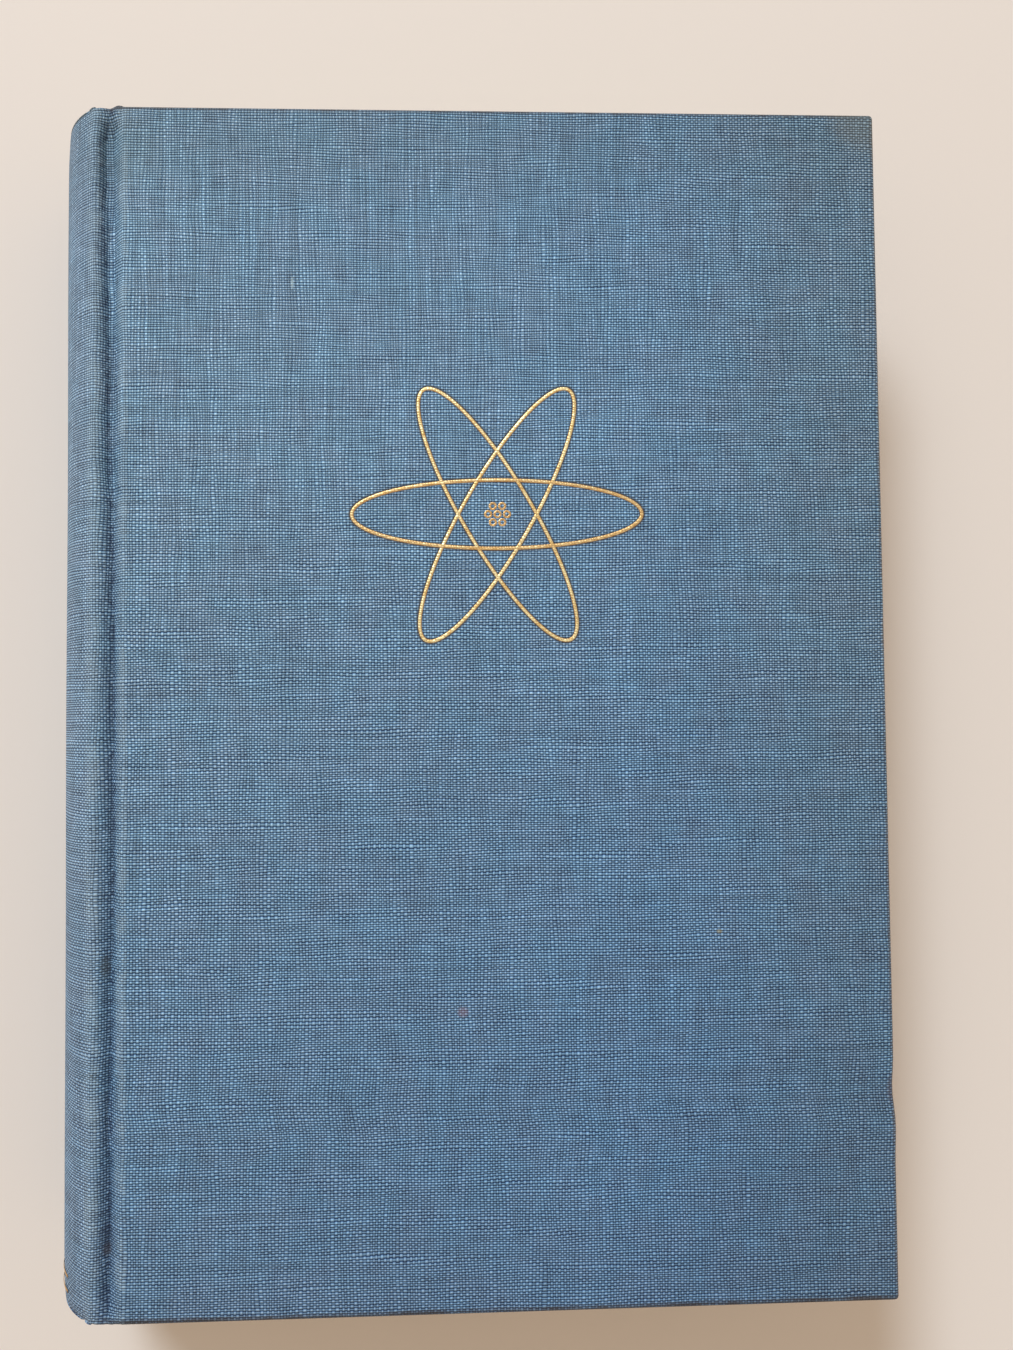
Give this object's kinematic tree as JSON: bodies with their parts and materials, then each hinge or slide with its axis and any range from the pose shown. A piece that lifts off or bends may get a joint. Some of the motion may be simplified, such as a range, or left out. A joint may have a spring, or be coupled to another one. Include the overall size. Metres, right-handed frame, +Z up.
{
  "type": "hardback book",
  "caption": "Cloth-covered hardback book with a rounded spine, pressed joints and a gold line figure; both covers open about hinges in the joints.",
  "frame": {"origin": "centre of the underside of the back cover's bounding box, with the book lying closed on it", "axes": "+X from the spine to the fore-edge, +Y from the tail to the head, +Z up through the front cover"},
  "size_m": [0.1524, 0.216, 0.0346],
  "materials": {
    "book_cloth": "blue plain-weave book cloth, matt, about 22 by 19 threads per centimetre",
    "leaves": "cream page edges",
    "endpaper": "plain cream endpaper",
    "band_thread": "off-white woven band",
    "mull": "open starched gauze",
    "kraft": "brown kraft paper",
    "card": "grey-brown card",
    "board": "grey binder's board",
    "gold_foil": "gold blocking foil, broken by the weave"
  },
  "bodies": {
    "block": {"text_block": "leaves", "front_flyleaf": "endpaper", "back_flyleaf": "endpaper", "headband": "band_thread", "tailband": "band_thread", "spine_mull": "mull", "spine_lining": "kraft", "spine_strip": "card", "spine_cloth": "book_cloth", "spine_rules": "gold_foil"},
    "front_cover": {"front_board": "board", "front_mull_flap": "mull", "front_pastedown": "endpaper", "front_cloth": "book_cloth", "cover_figure": "gold_foil"},
    "back_cover": {"back_board": "board", "back_mull_flap": "mull", "back_pastedown": "endpaper", "back_cloth": "book_cloth"}
  },
  "joints": [
    {"name": "front_hinge", "type": "hinge", "parent": "block", "child": "front_cover", "pos_m": [-0.0646, 0, 0.0339], "axis": [0, -1, 0], "range_deg": [0, 178]},
    {"name": "back_hinge", "type": "hinge", "parent": "block", "child": "back_cover", "pos_m": [-0.0646, 0, 0.0007], "axis": [0, 1, 0], "range_deg": [0, 178]}
  ]
}
